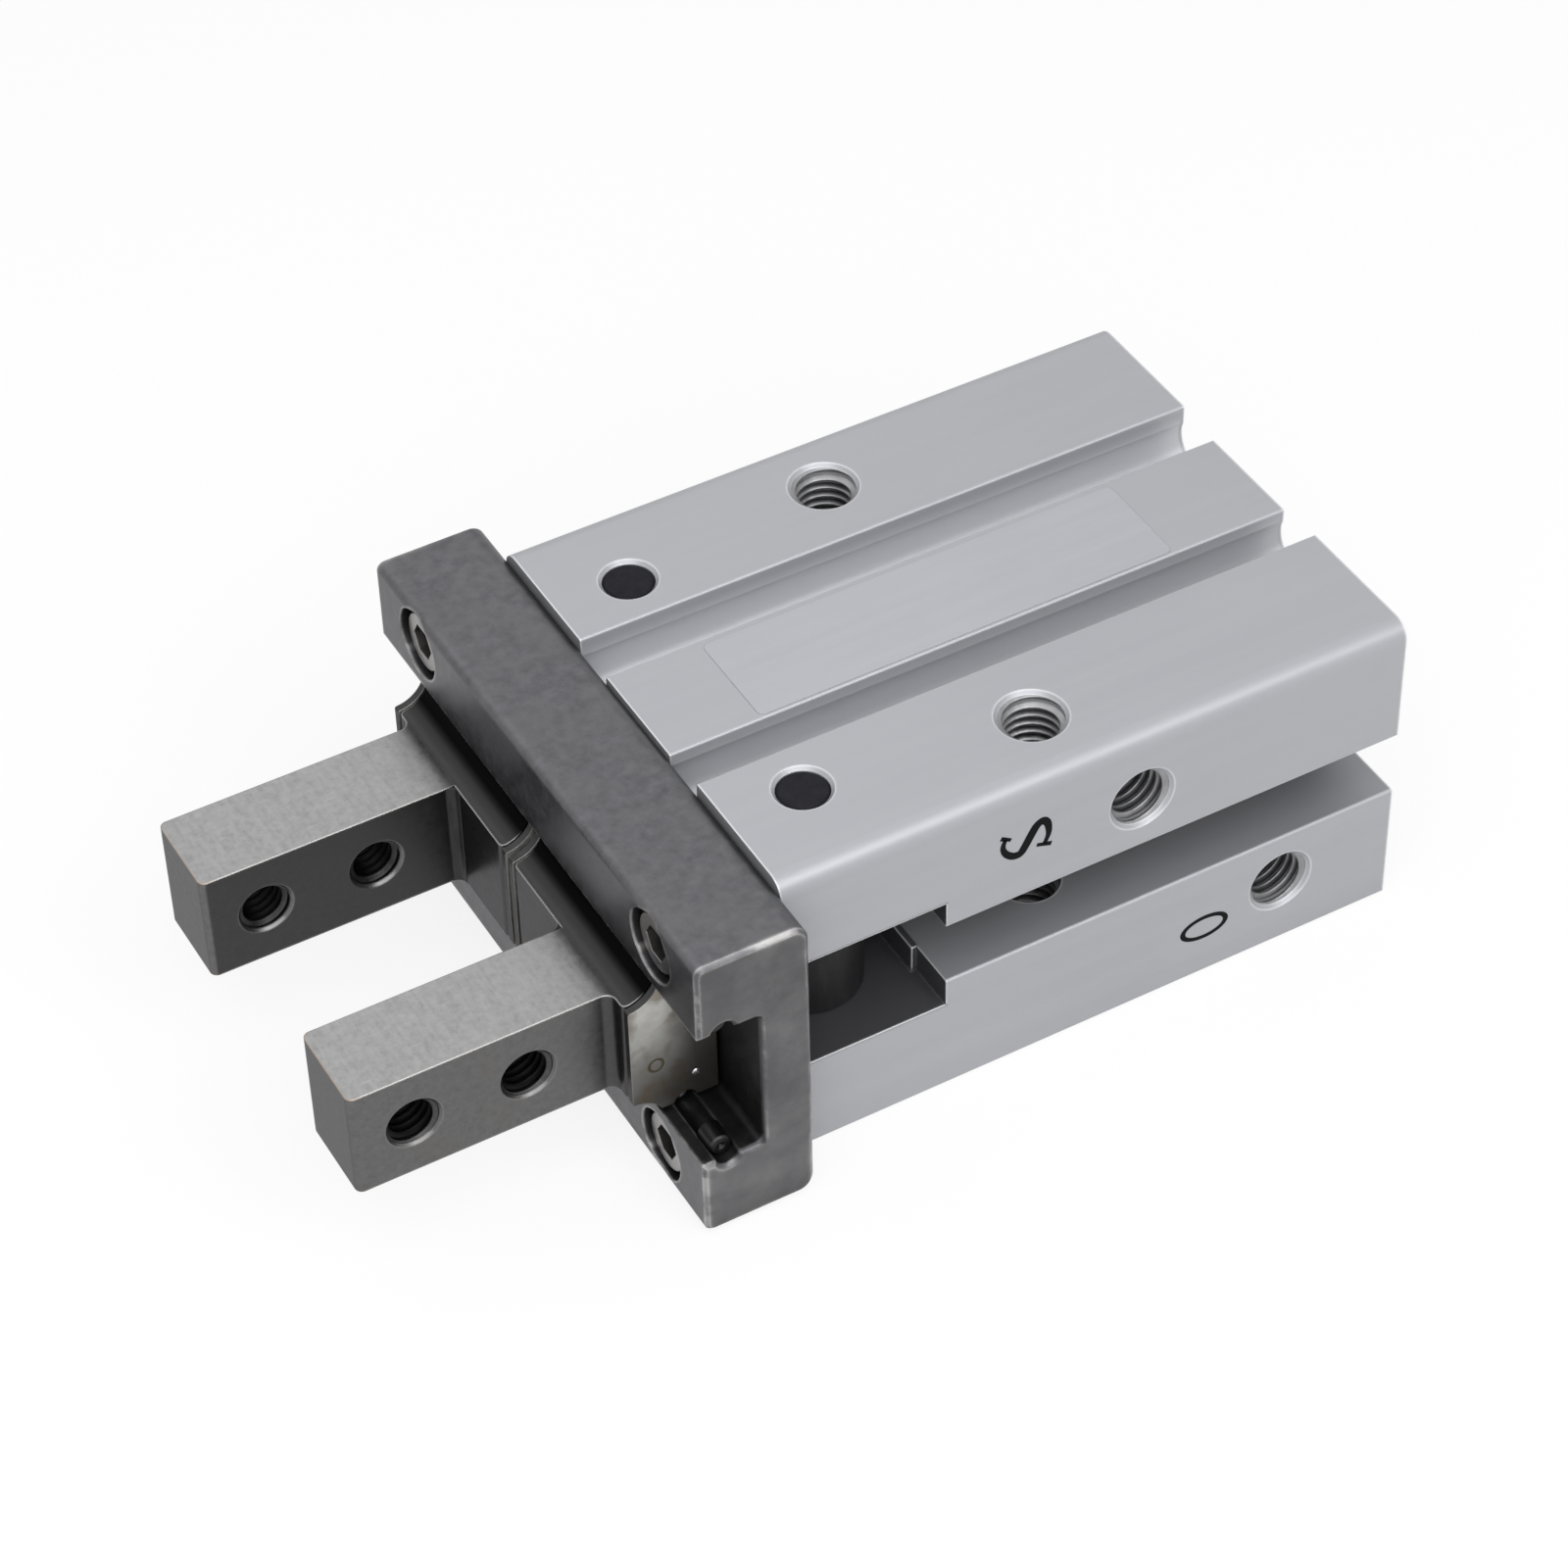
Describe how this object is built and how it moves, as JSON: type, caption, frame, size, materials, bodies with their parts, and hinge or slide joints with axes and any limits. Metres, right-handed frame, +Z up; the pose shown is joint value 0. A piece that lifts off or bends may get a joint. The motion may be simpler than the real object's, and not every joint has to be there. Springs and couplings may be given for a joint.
{
  "type": "gripper",
  "caption": "Pneumatic parallel gripper: an aluminium cylinder body, a steel cross rail and two sliding fingers driven through levers",
  "frame": {"origin": "centre of the rear mounting face, on the axis of the bore", "axes": "+X from the rear face to the fingertips, +Y to the near side with the two air ports, +Z up to the face with the two sensor grooves"},
  "size_m": [0.0848, 0.05, 0.0276],
  "materials": {
    "anodised_body": "satin clear anodised extrusion",
    "rail_steel": "dark ground hardened steel, matt",
    "ground_steel": "ground hardened steel, faint grain",
    "plate_steel": "polished thin stainless plate",
    "polished_steel": "polished bearing steel",
    "stopper_steel": "turned stainless steel",
    "screw_steel": "zinc plated alloy steel",
    "lever_steel": "heat treated steel",
    "dark_shaft": "black oxide end faces",
    "piston_alloy": "hard anodised turned alloy",
    "seal_rubber": "black nitrile rubber",
    "damper_rubber": "brown urethane rubber",
    "magnet": "bonded magnet material",
    "cap_alloy": "clear anodised turned alloy",
    "clip_steel": "phosphated spring steel"
  },
  "bodies": {
    "base": {"body": "anodised_body", "guide_rail": "rail_steel", "guide_screws": "screw_steel", "parallel_pins": "polished_steel", "roller_stoppers": "stopper_steel", "lever_shaft_near": "dark_shaft", "lever_shaft_far": "dark_shaft", "end_cap": "cap_alloy", "cap_gasket": "seal_rubber", "retaining_clip": "clip_steel", "rod_seal": "seal_rubber", "rod_damper": "damper_rubber", "head_damper": "damper_rubber"},
    "finger_near": {"finger_near": "ground_steel", "end_plates_near": "plate_steel"},
    "finger_far": {"finger_far": "ground_steel", "end_plates_far": "plate_steel"},
    "lever_near": {"lever_near": "lever_steel", "needle_rollers_near": "polished_steel"},
    "lever_far": {"lever_far": "lever_steel", "needle_rollers_far": "polished_steel"},
    "piston": {"piston": "piston_alloy", "piston_bolt": "screw_steel", "piston_seal": "seal_rubber", "magnet_ring": "magnet"},
    "balls_near": {"steel_balls_near": "polished_steel"},
    "balls_far": {"steel_balls_far": "polished_steel"}
  },
  "joints": [
    {"name": "finger_near_slide", "type": "slide", "parent": "base", "child": "finger_near", "axis": [0, 1, 0], "range_m": [0, 0.005]},
    {"name": "finger_far_slide", "type": "slide", "parent": "base", "child": "finger_far", "axis": [0, -1, 0], "range_m": [0, 0.005]},
    {"name": "piston_slide", "type": "slide", "parent": "base", "child": "piston", "axis": [1, 0, 0], "range_m": [0, 0.00375]},
    {"name": "lever_near_hinge", "type": "hinge", "parent": "base", "child": "lever_near", "pos_m": [0.0467, 0.0131, 0], "axis": [0, 0, 1], "range_deg": [0, 24.05]},
    {"name": "lever_far_hinge", "type": "hinge", "parent": "base", "child": "lever_far", "pos_m": [0.0467, -0.0131, 0], "axis": [0, 0, -1], "range_deg": [0, 24.05]},
    {"name": "balls_near_slide", "type": "slide", "parent": "base", "child": "balls_near", "axis": [0, 1, 0], "range_m": [0, 0.0025]},
    {"name": "balls_far_slide", "type": "slide", "parent": "base", "child": "balls_far", "axis": [0, -1, 0], "range_m": [0, 0.0025]}
  ],
  "couplings": [
    {"joint": "finger_far_slide", "follows": "finger_near_slide", "ratio": 1},
    {"joint": "piston_slide", "follows": "finger_near_slide", "ratio": 0.75},
    {"joint": "lever_near_hinge", "follows": "finger_near_slide", "rad_per_m": 83.948},
    {"joint": "lever_far_hinge", "follows": "finger_near_slide", "rad_per_m": 83.948},
    {"joint": "balls_near_slide", "follows": "finger_near_slide", "ratio": 0.5},
    {"joint": "balls_far_slide", "follows": "finger_near_slide", "ratio": 0.5}
  ]
}
